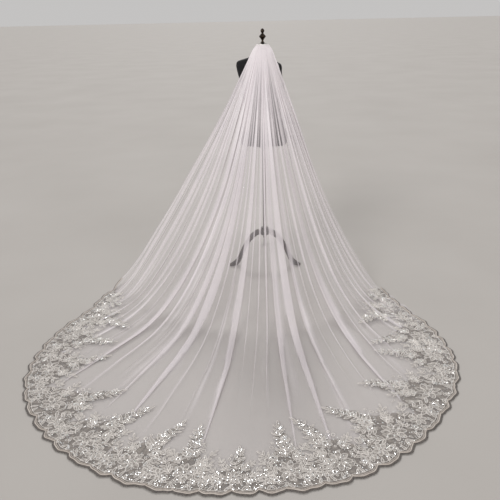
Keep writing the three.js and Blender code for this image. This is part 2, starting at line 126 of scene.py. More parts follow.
SPREAD = 300             # from the upright to each side, so its edge is lost on the horizon
FLOOR_DROP = 0.001       # keeps it clear of the undersides that stand on it
floor_paint, tree, shader = material("floor_paint")
shader.inputs["Roughness"].default_value = 0.75
shader.inputs["Specular IOR Level"].default_value = 0.2
tree.links.new(colours(tree, noise(tree, 0.8), (0.3, 0.45, 0.425, 0.40), (0.7, 0.48, 0.455, 0.43)),
               shader.inputs["Base Color"])
corners = [(-SPREAD, -SPREAD, 0), (SPREAD, -SPREAD, 0), (SPREAD, SPREAD, 0), (-SPREAD, SPREAD, 0)]
floor = mesh_object("floor", corners, [(0, 1, 2, 3)], floor_paint, smooth=False)
floor.location.z = -FLOOR_DROP

bpy.context.scene.view_settings.view_transform = "Standard"
sky = bpy.data.worlds.new("sky")
bpy.context.scene.world = sky
sky.use_nodes = True
even_light = sky.node_tree.nodes["Background"]
even_light.inputs["Color"].default_value = (1.0, 0.985, 0.975, 1)
even_light.inputs["Strength"].default_value = 0.55


def sun(name, towards, strength, softness):
    """Even light from one side; softness is the width of the source in degrees."""
    light = bpy.data.lights.new(name, "SUN")
    light.energy = strength
    light.angle = radians(softness)
    holder = bpy.data.objects.new(name, light)
    bpy.context.collection.objects.link(holder)
    holder.rotation_euler = Vector(towards).to_track_quat("-Z", "Y").to_euler()


sun("key", (0.55, 1.0, -0.62), 1.3, 22)
sun("fill", (-0.9, 0.9, -0.7), 0.25, 40)
sun("back", (0.12, -1.0, -0.78), 1.0, 12)


# ---- Dress form ----
# A limbless display form: a moulded torso with rounded-off shoulders. Its tight black
# jersey cover is sewn in panels, drawn over the form and closed flat under the hips.
def rows(columns, lines):
    """A short table as named columns."""
    return {name: np.array([line[k] for line in lines], float)
            for k, name in enumerate(columns.split())}


def bend(t, start, stop, leave, arrive):
    """A smooth curve from start to stop as t runs 0 to 1, with its slopes at the two ends."""
    return ((2 * t**3 - 3 * t**2 + 1) * start + (t**3 - 2 * t**2 + t) * leave
            + (3 * t**2 - 2 * t**3) * stop + (t**3 - t**2) * arrive)


def smooth_read(sheet, key, column, x):
    """Reads a column at x along a smooth curve through its rows."""
    xs = sheet[key]
    ys = sheet[column]
    x = np.clip(x, xs[0], xs[-1])
    slope = np.gradient(ys, xs)
    k = np.clip(np.searchsorted(xs, x, side="right") - 1, 0, len(xs) - 2)
    span = xs[k + 1] - xs[k]
    return bend((x - xs[k]) / span, ys[k], ys[k + 1], span * slope[k], span * slope[k + 1])


def ease(low, high, x):
    """Nothing up to low, one from high on, and a smooth rise between."""
    t = np.clip((x - low) / (high - low), 0, 1)
    return t * t * (3 - 2 * t)


def grid_faces(rows_count, columns, closed=False):
    """Quads of a grid of points, rows one after another."""
    i, j = np.meshgrid(np.arange(rows_count - 1), np.arange(columns if closed else columns - 1),
                       indexing="ij")
    a = i * columns + j
    b = i * columns + (j + 1) % columns
    return np.stack([a, b, b + columns, a + columns], axis=-1).reshape(-1, 4)


TORSO = rows("height half chest back", (
    (0.900, 0.160, 0.100, 0.088),
    (0.930, 0.170, 0.108, 0.096),
    (0.985, 0.166, 0.106, 0.094),
    (1.050, 0.140, 0.095, 0.076),
    (1.105, 0.122, 0.088, 0.066),
    (1.170, 0.130, 0.098, 0.074),
    (1.240, 0.146, 0.124, 0.086),
    (1.285, 0.150, 0.126, 0.090),
    (1.335, 0.153, 0.104, 0.088),
    (1.380, 0.157, 0.084, 0.078),
    (1.415, 0.161, 0.070, 0.068),
    (1.442, 0.162, 0.060, 0.059),
    (1.464, 0.150, 0.054, 0.052),
    (1.478, 0.116, 0.050, 0.050),
    (1.492, 0.086, 0.046, 0.046),
    (1.508, 0.060, 0.043, 0.043),
    (1.526, 0.047, 0.042, 0.042),
    (1.572, 0.043, 0.041, 0.041),
))
SQUARENESS = 0.86
SHIFT = -0.021           # the shoulders sit askew on the upright: moved to the left,
NARROWER = 0.010         # narrower on the right,
LEAN = 0.07              # and lower on the right, in metres a metre
SEAMS = (0, 0.36, 0.64, 1.0, 1.33, 1.67, 2.0)   # round the form, in half turns from its right side
SEAM_DEPTH = 0.0013
SEAM_WIDTH = 0.020       # in radians
COVER_BOTTOM = 0.9005
COVER_TOP = 1.572
COVER_RINGS = 120
COVER_SIDES = 240
UNDER_HIPS = 0.93        # where the cover turns under, as a share of its bottom ring


def at_shoulders(height):
    """One at the shoulders, nothing at the waist and the neck."""
    return ease(1.28, 1.43, height) * (1 - ease(1.47, 1.53, height))


def torso_rings():
    """The cover's rings of points from the bottom to the top of the neck."""
    found = []
    angle = np.arange(COVER_SIDES) * 2 * pi / COVER_SIDES
    c, s = np.cos(angle), np.sin(angle)
    groove = sum(np.exp(-((np.abs(angle - turn * pi) / SEAM_WIDTH) ** 2)) for turn in SEAMS)
    for height in np.linspace(COVER_BOTTOM, COVER_TOP, COVER_RINGS):
        half, chest, back = (smooth_read(TORSO, "height", column, height)
                             for column in ("half", "chest", "back"))
        askew = at_shoulders(height)
        sunk = SEAM_DEPTH * groove * (1 - ease(1.44, 1.50, height))
        wide = half - NARROWER * askew * (c > 0) - sunk
        deep = np.where(s > 0, chest, back) - sunk
        x = wide * np.sign(c) * np.abs(c) ** SQUARENESS + SHIFT * askew
        y = deep * np.sign(s) * np.abs(s) ** SQUARENESS
        found.append(np.stack([x, y, height - LEAN * askew * x], axis=-1))
    return found


jersey, tree, shader = material("black_jersey")
shader.inputs["Roughness"].default_value = 0.9
shader.inputs["Sheen Weight"].default_value = 0.08
shader.inputs["Sheen Roughness"].default_value = 0.5
shader.inputs["Specular IOR Level"].default_value = 0.3
knit = noise(tree, 900, 2.0, (1, 1, 0.35))
tree.links.new(colours(tree, knit, (0.3, 0.004, 0.004, 0.005), (0.75, 0.017, 0.016, 0.018)),
               shader.inputs["Base Color"])
bump(tree, shader, knit, 0.35, 0.0006)

rings = torso_rings()
turned_under = rings[0] * np.array([UNDER_HIPS, UNDER_HIPS, 1])
points = np.concatenate([[[0, 0, COVER_BOTTOM]], turned_under, *rings, [[0, 0, COVER_TOP]]])
faces = [tuple(f + 1) for f in grid_faces(COVER_RINGS + 1, COVER_SIDES, closed=True)]
faces += [(0, 1 + (j + 1) % COVER_SIDES, 1 + j) for j in range(COVER_SIDES)]
last = 1 + COVER_RINGS * COVER_SIDES
faces += [(len(points) - 1, last + j, last + (j + 1) % COVER_SIDES) for j in range(COVER_SIDES)]
torso = mesh_object("torso_cover", points + np.array(UPRIGHT), faces, jersey)
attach(torso, "root")
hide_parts("form_torso")

# ---- Stand and finial ----
# A turned finial on a neck cap, and a steel pole held in a hub on three cast legs. All of
# it is finished in dark bronze enamel, worn to brown in patches.
bronze, tree, shader = material("bronze_enamel")
shader.inputs["Metallic"].default_value = 0.85
shader.inputs["Roughness"].default_value = 0.34
worn = noise(tree, 38, 5.0)
tree.links.new(colours(tree, worn, (0.35, 0.018, 0.013, 0.010), (0.62, 0.055, 0.038, 0.026),
                       (0.8, 0.13, 0.085, 0.05)), shader.inputs["Base Color"])
bump(tree, shader, noise(tree, 260, 3.0), 0.12, 0.0008)
for node in ("form_neck_cap", "form_finial", "form_pole", "form_hub",
             "form_leg_1", "form_leg_2", "form_leg_3"):
    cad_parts[node].data.materials.clear()
    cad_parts[node].data.materials.append(bronze)

# ---- Tulle ----
# One length of fine soft nylon net, about 3.2 m wide and 3.15 m long with rounded lower
# corners. It is gathered tightly at the neck and falls in doubled folds that melt into the train.
TOP_HEIGHT = 1.571
TOP_RADIUS = 0.058
DRAWN_IN = 0.0125       # how far the gathers lie inside that radius at the very top
LEFT_EDGE = -62.0
RIGHT_EDGE = 60.0
SHOULDER_WRAP = 10.0    # the right edge lies further round, over the form's shoulder
CORNER_TUCK = 2.6       # the right edge comes in to meet the end of the hem
TRAIN_CENTRE = 1.3

# The outline of the hem: how far it reaches at each turn about the train's centre.
HEM = rows("turn reach", (
    (-128, 1.247), (-118, 1.196), (-110, 1.146), (-100, 1.166), (-70, 1.205), (-50, 1.161),
    (-20, 1.092), (5, 1.038), (30, 1.062), (60, 1.076), (85, 1.118), (105, 1.096),
    (120, 1.074), (133, 1.130),
))
HEM_STEPS = 1400
turns = np.radians(np.linspace(HEM["turn"][0], HEM["turn"][-1], HEM_STEPS))
reach = smooth_read(HEM, "turn", "reach", np.degrees(turns))
hem_x = reach * np.sin(turns)
hem_out = TRAIN_CENTRE + reach * np.cos(turns)
hem_bearing = np.degrees(np.arctan2(hem_x, hem_out))
hem_radius = np.hypot(hem_x, hem_out)
hem_length = np.concatenate([[0], np.cumsum(np.hypot(np.diff(hem_x), np.diff(hem_out)))])

# How the cloth falls at each bearing: where it touches the floor, and how hollow it hangs.
FALL = rows("bearing touch sag", (
    (-62, 1.206, 1.32), (-30, 1.18, 1.42), (0, 1.150, 1.50), (30, 1.10, 1.50), (60, 1.030, 1.50),
))
SOFTENING = (-0.20, -0.10, 0.0, 0.10, 0.20)


def fall_height(bearing, radius):
    """Height of the hanging cloth; it is averaged where it meets the floor, but not at the edges."""
    touch = np.interp(bearing, FALL["bearing"], FALL["touch"])
    sag = np.interp(bearing, FALL["bearing"], FALL["sag"])
    height = 0
    softness = ease(0.40, 1.0, radius) * (1 - 0.95 * ease(36, 56, np.abs(bearing)))
    for step in SOFTENING:
        place = radius + step * softness
        share = np.clip((place - TOP_RADIUS) / (touch - TOP_RADIUS), 0, 1)
        height = height + TOP_HEIGHT / len(SOFTENING) * (1 - share) ** sag
    return height


# The folds from the left edge to the right edge. near, mid and far are bearings 0.5, 1.0 and
# 1.5 m out; tight and full say how far the cloth doubles back at the first two (over 1 it
# laps); depth is in metres, over is the side on top, reach is where the fold has tapered out.
FOLDS = rows("near mid far tight full depth over reach", (
    (-60.5, -60.0, -58.0, 1.6, 1.3, 0.006, 1, 1.20),
    (-57.5, -57.3, -56.0, 2.6, 1.5, 0.008, 1, 1.30),
    (-54.0, -54.2, -53.0, 2.2, 1.35, 0.009, -1, 1.36),
    (-50.0, -50.3, -49.0, 2.6, 1.6, 0.010, 1, 1.42),
    (-46.6, -47.0, -45.5, 2.0, 1.2, 0.008, 1, 1.45),
    (-43.6, -44.2, -42.5, 2.4, 1.5, 0.010, -1, 1.55),
    (-40.3, -41.0, -39.5, 2.6, 1.6, 0.010, 1, 1.60),
    (-36.8, -38.0, -36.5, 2.2, 1.2, 0.008, 1, 1.65),
    (-33.2, -35.2, -34.0, 2.6, 1.8, 0.009, -1, 1.80),
    (-26.0, -30.4, -29.5, 4.0, 3.4, 0.013, -1, 2.02),
    (-21.8, -26.4, -25.6, 3.4, 1.9, 0.009, 1, 1.95),
    (-19.6, -23.3, -22.8, 2.2, 1.5, 0.007, -1, 1.85),
    (-17.6, -20.5, -19.9, 3.6, 2.9, 0.010, 1, 2.02),
    (-14.2, -16.1, -14.7, 4.0, 3.6, 0.013, 1, 2.16),
    (-11.2, -12.6, -11.4, 2.4, 1.3, 0.008, 1, 1.90),
    (-8.6, -9.6, -8.4, 2.6, 1.4, 0.009, -1, 2.00),
    (-4.6, -5.6, -3.6, 4.0, 3.5, 0.013, -1, 2.18),
    (-1.4, -1.6, -0.6, 2.2, 1.2, 0.007, 1, 1.85),
    (1.6, 1.7, 1.6, 2.6, 1.5, 0.008, 1, 1.95),
    (4.2, 4.4, 4.1, 2.8, 1.7, 0.008, -1, 1.90),
    (6.8, 7.8, 6.9, 3.6, 3.0, 0.010, 1, 2.20),
    (11.4, 12.4, 12.6, 4.0, 3.3, 0.012, -1, 2.20),
    (15.8, 17.0, 16.0, 3.8, 2.6, 0.011, 1, 1.95),
    (18.8, 20.0, 19.0, 2.2, 1.3, 0.008, 1, 1.90),
    (22.0, 23.0, 21.6, 2.4, 1.4, 0.008, -1, 1.95),
    (27.3, 27.9, 24.6, 4.0, 3.4, 0.013, 1, 1.95),
    (31.8, 32.0, 28.6, 2.6, 1.7, 0.009, 1, 1.85),
    (35.4, 35.2, 32.4, 2.8, 1.5, 0.010, -1, 1.70),
    (39.2, 38.8, 36.0, 2.2, 1.2, 0.008, 1, 1.50),
    (42.8, 42.0, 39.5, 2.6, 1.5, 0.010, 1, 1.40),
    (46.6, 45.8, 43.0, 2.0, 1.2, 0.008, -1, 1.30),
    (50.4, 50.0, 47.5, 2.4, 1.4, 0.009, 1, 1.20),
    (54.2, 54.0, 51.5, 2.2, 1.2, 0.008, -1, 1.10),
    (57.6, 57.4, 55.5, 2.0, 1.0, 0.006, 1, 1.05),
))
FOLD_COUNT = len(FOLDS["near"])


def sweep(radius, near, mid, far):
    """A fold's bearing: a smooth curve through its three bearings, easing off at both ends."""
    inner_gap = mid - near
    outer_gap = far - mid
    halfway = (inner_gap + outer_gap) / 2
    inner = bend(np.clip((radius - 0.5) / 0.5, 0, 1), near, mid, inner_gap, halfway)
    outer = bend(np.clip((radius - 1.0) / 0.5, 0, 1), mid, far, halfway, outer_gap)
    curve = np.where(radius < 1.0, inner, outer)
    curve = curve - 0.8 * inner_gap * np.maximum(0.5 - radius, 0)
    return curve + 0.2 * outer_gap * (1 - np.exp(-np.maximum(radius - 1.5, 0) / 0.3))


def fold_edges(radius):
    """Bearings of the lines between folds, one column more than there are folds."""
    middle = sweep(radius[..., None], FOLDS["near"], FOLDS["mid"], FOLDS["far"])
    inner = (middle[..., 1:] + middle[..., :-1]) / 2
    end = np.ones(radius.shape + (1,))
    wrap = SHOULDER_WRAP * (1 - ease(0.16, 0.42, radius))[..., None]
    wrap = wrap - CORNER_TUCK * ease(0.80, 0.98, radius)[..., None]
    return np.concatenate([LEFT_EDGE * end, inner, RIGHT_EDGE + wrap], axis=-1)


LAPS = np.linspace(1, 6, 200)
LAP_WIDTH = np.sqrt(LAPS**2 - 1) - np.arccos(1 / LAPS)     # width of the doubled band each makes
LAP_TAPER = 1.15


def lap_of(k, radius, half):
    """How far fold k doubles back: past 1 m out its band narrows evenly to nothing."""
    tight, full, reach = (FOLDS[name][k] for name in ("tight", "full", "reach"))
    hanging = tight + (full - tight) * ease(0.5, 1.0, radius)
    edges = fold_edges(np.array(1.0))
    half_there = (edges[k + 1] - edges[k]) / 2
    taper = 1 - np.clip((radius - 1.0) / (reach - 1.0), 0, 1) ** LAP_TAPER
    width = np.interp(full, LAPS, LAP_WIDTH) * half_there * taper
    lying = np.interp(width / (half * radius), LAP_WIDTH, LAPS)
    lap = np.where(radius < 1.0, hanging, lying) * ease(reach + 0.25, reach, radius)
    return lap * (0.25 + 0.75 * ease(0.08, 0.35, radius))


# Low waves of the cloth lying on the floor: height in metres, how far each wave turns for a
# degree of bearing and for a metre out, and where it starts.
TRAIN_LIFT = 0.0044
TRAIN_WAVES = (
    (0.00140, 1.31, 2.0, 0.0),
    (0.00098, 2.17, -1.2, 1.0),
    (0.00070, 3.40, 4.0, 0.0),
    (0.00072, 0.27, 7.0, 0.0),
    (0.00048, -0.30, 15.0, 0.0),
)


def train_ripple(bearing, radius):
    waves = sum(height * np.sin(turn * bearing + run * radius + start)
                for height, turn, run, start in TRAIN_WAVES)
    return ease(0.9, 1.3, radius) * (waves + TRAIN_LIFT)


def hem_at(bearing):
    return np.interp(bearing, hem_bearing, hem_radius)


CLOTH_GAP = 0.0010       # between the train and the floor
FOLD_ROOM = 0.006        # more room for the deeper folds, up to where the lace starts


def lie_height(bearing, radius, share):
    """Height of the smooth cloth above the floor, without its folds."""
    settle = 1 - 0.75 * ease(0.86, 0.98, share)
    lift = CLOTH_GAP + train_ripple(bearing, radius) * settle + FOLD_ROOM * (1 - ease(0.7, 0.84, share))
    return fall_height(bearing, radius) + lift


FORM_GAP = 0.006         # between the dress form and the cloth


def form_reach(bearing, height):
    """How far out the cloth has to lie at a bearing to clear the dress form."""
    there = height > TORSO["height"][0]
    half = smooth_read(TORSO, "height", "half", height) * there
    half = half + (SHIFT - NARROWER) * at_shoulders(height) * (bearing > 0)
    back = smooth_read(TORSO, "height", "back", height) * there
    power = 2 / SQUARENESS
    side = np.abs(np.sin(np.radians(bearing)))
    rear = np.abs(np.cos(np.radians(bearing)))
    flat = (side / np.maximum(half, 1e-3)) ** power + (rear / np.maximum(back, 1e-3)) ** power
    return flat ** (-1 / power) + FORM_GAP


def gathered(across, bearing, radius):
    """How far the fine pleats under the ribbon and the broad swells below them stand out."""
    pleat = np.sin(across * 2 * pi * 3.0 + 1.3 * np.sin(across * 1.7))
    pleat = pleat * (0.6 + 0.4 * np.sin(across * 5.3))
    swell = 0.012 * np.sin(np.radians(bearing) * 5.0 + 0.7) + 0.008 * np.sin(np.radians(bearing) * 11.0)
    return (0.0022 * pleat * ease(0.06, 0.2, radius) * (1 - ease(0.45, 1.0, radius))
            + swell * ease(0.25, 0.6, radius) * (1 - ease(0.8, 1.1, radius)))


LOWEST = 0.0008          # no part of the tulle lies closer to the floor


def cloth(across, share):
    """Points of the veil at places across its folds and shares of the way to the hem."""
    k = np.clip(np.floor(across).astype(int), 0, FOLD_COUNT - 1)
    t = 2 * (across - k) - 1
    far_edges = fold_edges(np.array(2.0))
    at_hem = far_edges[k] + (far_edges[k + 1] - far_edges[k]) * (across - k)
    hem = hem_at(at_hem)
    radius = TOP_RADIUS + share[:, None] * (hem - TOP_RADIUS)[None, :]
    edges = fold_edges(radius)
    pick = np.broadcast_to(k, radius.shape)[..., None]
    left = np.take_along_axis(edges, pick, -1)[..., 0]
    right = np.take_along_axis(edges, pick + 1, -1)[..., 0]
    half = (right - left) / 2
    reach = FOLDS["reach"][k]
    gone = 1 - ease(0.72 * reach, reach, radius)
    lap = lap_of(k, radius, half)
    bearing = (left + right) / 2 + half * t - half * lap * np.sin(pi * t) / pi
    width = radius * np.radians(half)
    standing = np.minimum(FOLDS["depth"][k], 0.42 * width)
    depth = standing * (1 - 0.62 * ease(0.85, 1.25, radius)) * np.sqrt(gone)
    proud = depth * FOLDS["over"][k] * np.sin(pi * t) * (1 - t**6) + gathered(across, bearing, radius)
    step = 0.002
    drop = fall_height(bearing, radius - step) - fall_height(bearing, radius + step)
    tilt = np.arctan(drop / (2 * step))
    level = lie_height(bearing, radius, share[:, None])
    out = radius + proud * np.sin(tilt)
    z = np.maximum(level + proud * np.cos(tilt), LOWEST)
    out = np.maximum(out, form_reach(bearing, z))
    at_top = 1 - ease(0, 0.016, share)[:, None]
    out = out - DRAWN_IN * at_top
    z = z + 0.002 * at_top
    x = out * np.sin(np.radians(bearing))
    y = -out * np.cos(np.radians(bearing))
    return x, y, z, bearing, radius, lap, t


COLUMNS_A_FOLD = 18
ROWS = 150
across = np.linspace(0, FOLD_COUNT - 1e-6, FOLD_COUNT * COLUMNS_A_FOLD + 1)
share = np.linspace(0, 1, ROWS) ** 1.12        # rows lie closer together towards the neck
x, y, z, bearing, radius, lap, t = cloth(across, share)

# How much cloth covers each place: all 3.2 m of it share each ring, so it is nearly solid at
# the neck and a single sheer layer on the train. Doubled folds show their turned edges.
# Here and there the gathers are bunched (cloth over 1) or spread (under 1), until so far out.
GATHERS = rows("bearing width until cloth", (
    (-45.0, 3.0, 0.5, 0.70),
    (-24.0, 5.5, 1.3, 2.00),
    (-16.5, 2.0, 0.9, 1.45),
    (-11.8, 1.5, 0.6, 0.55),
    (-6.2, 1.0, 0.4, 0.50),
    (-1.2, 1.6, 0.6, 0.45),
    (4.5, 4.0, 0.7, 1.60),
    (16.2, 1.0, 0.5, 0.60),
    (19.8, 1.2, 0.6, 0.50),
    (23.6, 1.5, 0.6, 0.30),
    (46.0, 7.0, 0.5, 1.30),
    (57.0, 3.0, 0.6, 1.40),
))
CUT_WIDTH = 3.2
draw = np.random.default_rng(7)
ring_length = np.hypot(np.diff(x, axis=1), np.diff(y, axis=1)).sum(axis=1)
layers = np.maximum(1.0, CUT_WIDTH / ring_length)[:, None] * (1 + 1.3 * (1 - ease(0.2, 0.55, radius)))
streak = np.zeros(len(across))
STREAKS = ((60, 0.30), (150, 0.34), (300, 0.22))        # (how many across, how strong)
for count, weight in STREAKS:
    knots = draw.normal(size=count)
    streak += weight * np.interp(np.linspace(0, count - 1, len(across)), np.arange(count), knots)
thick = np.ones(radius.shape)
for k in range(len(GATHERS["bearing"])):
    place = (bearing - GATHERS["bearing"][k]) / GATHERS["width"][k]
    fade = 1 - ease(GATHERS["until"][k] * 0.7, GATHERS["until"][k], radius)
    thick *= GATHERS["cloth"][k] ** (np.exp(-place**2) * fade)
layers = layers * thick * np.exp(0.5 * streak[None, :] * (1 - ease(0.3, 1.5, radius)))
SINGLE = 0.17            # how much of the light one layer stops, and a folded pair
DOUBLED = 0.31
edges = fold_edges(radius[:, :1])[:, 0]
k = np.clip(np.floor(across).astype(int), 0, FOLD_COUNT - 1)
half = (edges[:, k + 1] - edges[:, k]) / 2
turned = np.arccos(np.clip(1 / np.maximum(lap, 1.0001), 0, 1)) / pi
swung = np.abs(half * t - half * lap * np.sin(pi * t) / pi)
turn_at = np.abs(half * turned - half * lap * np.sin(pi * turned) / pi)
inside = (1 - ease(0.94, 1.06, swung / np.maximum(turn_at, 1e-6))) * ease(1.0, 1.25, lap)
each = SINGLE + (DOUBLED - SINGLE) * inside
cover = 1 - (1 - each) ** layers
edge_line = np.exp(-((np.abs(t)[None, :] - turned) / 0.06) ** 2) * ease(1.05, 1.6, lap)
crease = np.zeros(radius.shape)
CREASES = 90             # loose ones that run down the train
for k in range(CREASES):
    at = draw.uniform(0.6, FOLD_COUNT - 0.6) + draw.normal() * 0.05 * (radius - 1)
    start = draw.uniform(0.5, 1.5)
    stop = draw.uniform(1.5, 2.25)
    line = np.exp(-((across[None, :] - at) / draw.uniform(0.055, 0.09)) ** 2)
    shown = ease(start, start + 0.2, radius) * (1 - ease(stop - 0.35, stop, radius))
    crease += draw.uniform(0.10, 0.30) * line * shown
selvedge = np.exp(-(across / 0.10) ** 2) + np.exp(-((FOLD_COUNT - across) / 0.10) ** 2)
cover = np.clip(cover + 0.24 * edge_line + crease + 0.3 * selvedge, 0, 0.97)


def mapped(tree, value, before, after):
    """Stretches a value from one range to another."""
    node = tree.nodes.new("ShaderNodeMapRange")
    node.inputs["From Min"].default_value = before[0]
    node.inputs["From Max"].default_value = before[1]
    node.inputs["To Min"].default_value = after[0]
    node.inputs["To Max"].default_value = after[1]
    tree.links.new(value, node.inputs["Value"])
    return node.outputs["Result"]


def mesh_of_net(tree, shader, amount, scale, cell, strength):
    """Opens the cloth between its threads; scale in cells a metre, cell from thread to hole."""
    cells = tree.nodes.new("ShaderNodeTexVoronoi")
    cells.feature = "DISTANCE_TO_EDGE"
    cells.inputs["Scale"].default_value = scale
    place = tree.nodes.new("ShaderNodeTexCoord")
    tree.links.new(place.outputs["Object"], cells.inputs["Vector"])
    through = tree.nodes.new("ShaderNodeMath")
    through.operation = "MULTIPLY"
    through.use_clamp = True
    tree.links.new(amount, through.inputs[0])
    tree.links.new(mapped(tree, cells.outputs["Distance"], cell, strength), through.inputs[1])
    tree.links.new(through.outputs["Value"], shader.inputs["Alpha"])
    return cells.outputs["Distance"]


tulle_paint, tree, shader = material("tulle")
shader.inputs["Roughness"].default_value = 0.65
shader.inputs["Sheen Weight"].default_value = 0.35
shader.inputs["Sheen Roughness"].default_value = 0.4
shader.inputs["Specular IOR Level"].default_value = 0.25
tree.links.new(colours(tree, noise(tree, 5.0), (0.3, 0.83, 0.775, 0.80), (0.7, 0.88, 0.825, 0.84)),
               shader.inputs["Base Color"])
amount = tree.nodes.new("ShaderNodeAttribute")
amount.attribute_name = "cover"
mesh_of_net(tree, shader, amount.outputs["Fac"], 620, (0.05, 0.32), (1.22, 0.86))
bpy.context.scene.cycles.transparent_max_bounces = 48

points = np.stack([x, y, z], axis=-1).reshape(-1, 3) + np.array(UPRIGHT)
tulle = mesh_object("tulle_veil", points, grid_faces(ROWS, len(across))[:, ::-1], tulle_paint)
attribute = tulle.data.attributes.new("cover", "FLOAT", "POINT")
attribute.data.foreach_set("value", cover.reshape(-1).astype(np.float32))
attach(tulle, "root")
STRETCHES = ("left_edge", "left", "middle", "right", "right_edge")
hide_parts(*[f"veil_{part}_{s}" for part in ("fall", "train") for s in STRETCHES])


# ---- Lace ground ----
# Embroidered net sewn over the tulle's lower edge. It runs in from the hem as a deep
# border of pointed sprays, each a little different, and ends in a scalloped edge.
SPRAYS = rows("along tip lean size", (
    (0.044, 0.19, 0.10, 0.62),
    (0.088, 0.37, 0.16, 0.95),
    (0.147, 0.39, 0.08, 0.98),
    (0.211, 0.41, -0.10, 1.02),
    (0.285, 0.43, 0.14, 1.06),
    (0.355, 0.43, 0.10, 1.05),
    (0.418, 0.40, 0.12, 0.98),
    (0.467, 0.38, -0.06, 0.92),
    (0.514, 0.24, 0.06, 0.72),
    (0.562, 0.39, 0.05, 0.96),
    (0.613, 0.41, -0.14, 1.00),
    (0.678, 0.42, -0.20, 1.04),
    (0.764, 0.42, -0.16, 1.08),
    (0.832, 0.40, 0.06, 1.00),
    (0.879, 0.41, -0.10, 0.96),
    (0.950, 0.36, -0.16, 0.98),
    (0.992, 0.16, -0.10, 0.55),
))
SPRAY_COUNT = len(SPRAYS["along"])
HEM_TOTAL = hem_length[-1]
SCALLOPS = 41
BARE_START = 0.11        # the lace begins this far along the hem
LOWEST_TRIM = 0.0012     # the smooth height under the lace and cords is at least this
GROUND_LIFT = 0.0016     # and each layer lies this far above it
CORD_LIFT = 0.0022
PETAL_LIFT = 0.0021
PETAL_DOME = 0.0032      # at the middle of a petal
SEQUIN_LIFT = 0.0048
HEM_CORD_LIFT = 0.0024

spray_middle = SPRAYS["along"] * HEM_TOTAL
borders = (SPRAYS["along"][1:] + SPRAYS["along"][:-1]) / 2 * HEM_TOTAL
spray_left = np.concatenate([[BARE_START], borders]) - spray_middle
spray_right = np.concatenate([borders, [HEM_TOTAL]]) - spray_middle


def sway(spray, v):
    """How far a spray has leant along the hem at v inland."""
    tip = SPRAYS["tip"][spray]
    return SPRAYS["lean"][spray] * tip * (np.maximum(v, 0) / tip) ** 1.5


def scallop(along):
    """How far the scalloped edge stands outside the tulle's hem."""
    uneven = along + 0.016 * np.sin(along * 7.3) + 0.012 * np.sin(along * 17.9 + 1)
    wave = np.abs(np.sin(pi * SCALLOPS * uneven / HEM_TOTAL))
    return 0.005 + 0.018 * wave**0.8 + 0.0022 * np.sin(along * 61) + 0.002 * np.sin(along * 97 + 2)


def hem_point(along):
    return np.interp(along, hem_length, hem_x), np.interp(along, hem_length, hem_out)


def inland(along):
    """Direction from the hem towards the middle of the train."""
    x, out = hem_point(along)
    size = np.hypot(x, out - TRAIN_CENTRE)
    return -x / size, -(out - TRAIN_CENTRE) / size


def on_train(x, out, above):
    """World points a little above the smooth cloth, at places sideways and out from the upright."""
    bearing = np.degrees(np.arctan2(x, out))
    radius = np.hypot(x, out)
    level = lie_height(bearing, radius, radius / hem_at(bearing))
    z = np.maximum(level, LOWEST_TRIM) + above
    return np.stack([x, -out, z], axis=-1) + np.array(UPRIGHT)


def on_lace(spray, u, v, above):
    """World points for places u along the hem and v inland of it, in metres, in one spray."""
    x, out = hem_point(spray_middle[spray] + u)
    spread = 1 - ease(0.08, 0.30, v)
    side_x, side_out = inland(spray_middle[spray] + u * spread)
    return on_train(x + v * side_x, out + v * side_out, above)


def net_paint(name, rgb_low, rgb_high, low, high, scale, thread_scale):
    """Embroidered net: thread-filled patches between clearer ones, over a fine mesh. The clearer patches
    are painted darker, as painted shade seen through them.
    """
    made, tree, shader = material(name)
    shader.inputs["Roughness"].default_value = 0.6
    shader.inputs["Sheen Weight"].default_value = 0.3
    patch = noise(tree, scale, 4.0)
    # Painted shade: the colour follows the same patches as the density, darker where the net is thinner.
    tree.links.new(colours(tree, patch, (0.3, *rgb_low), (0.7, *rgb_high)), shader.inputs["Base Color"])
    density = mapped(tree, patch, (0.36, 0.62), (low, high))
    threads = mesh_of_net(tree, shader, density, thread_scale, (0, 0.22), (1.3, 0.75))
    bump(tree, shader, threads, 0.3, 0.0004)
    return made


# The ground net's dark brown is painted shade; the net itself is ivory like the tulle.
ground_paint = net_paint("lace_net", (0.13, 0.108, 0.09), (0.30, 0.265, 0.235), 0.42, 0.80, 46, 420)
GROUND_ROWS = 46
GROUND_COLUMNS = 32
points = []
faces = []
for k in range(SPRAY_COUNT):
    rise = np.linspace(0, 1, GROUND_ROWS)[:, None] ** 0.9
    v = rise * SPRAYS["tip"][k]
    body = 1 - ease(0.20, 0.62, rise)
    tiers = 0.16 * np.abs(np.sin(rise * 10.5)) + 0.05 * np.sin(rise * 47 + k)
    narrow = 0.30 * (1 - rise) ** 0.8 + 0.10 * (1 - rise)
    width = np.clip(body + (1 - body) * (narrow + tiers * (1 - rise) ** 0.5), 0.015, 1)
    s = np.linspace(-1, 1, GROUND_COLUMNS)[None, :]
    u = np.where(s < 0, -s * spray_left[k], s * spray_right[k]) * width + sway(k, v)
    edge = scallop(spray_middle[k] + u) - 0.004
    v = v - edge * (1 - rise) ** 6
    grid = on_lace(k, u, v, GROUND_LIFT).reshape(-1, 3)
    faces.append(grid_faces(GROUND_ROWS, GROUND_COLUMNS)[:, ::-1] + k * len(grid))
    points.append(grid)
lace_net = mesh_object("lace_net", np.concatenate(points), np.concatenate(faces), ground_paint)
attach(lace_net, "root")
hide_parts(*[f"lace_border_{s}" for s in STRETCHES])

# ---- Lace embroidery ----
# Flat satin cord, sewn down by machine, outlines milky petals filled with thread: open
# flowers with stamens near the hem, ring flowers above them, and leaves in pairs to each tip.
CORD = 0.0032            # width of the cord
SMALL_SPRAY = 0.3        # a spray shorter than this carries fewer flowers
LEAF_SPACING = 0.034     # along the scallops
cord_lines = []      # (spray, points along the line, width)
fills = []           # (spray, outline)
beaded = []          # (spray, u, v, radius) of the rings that are sewn with sequins


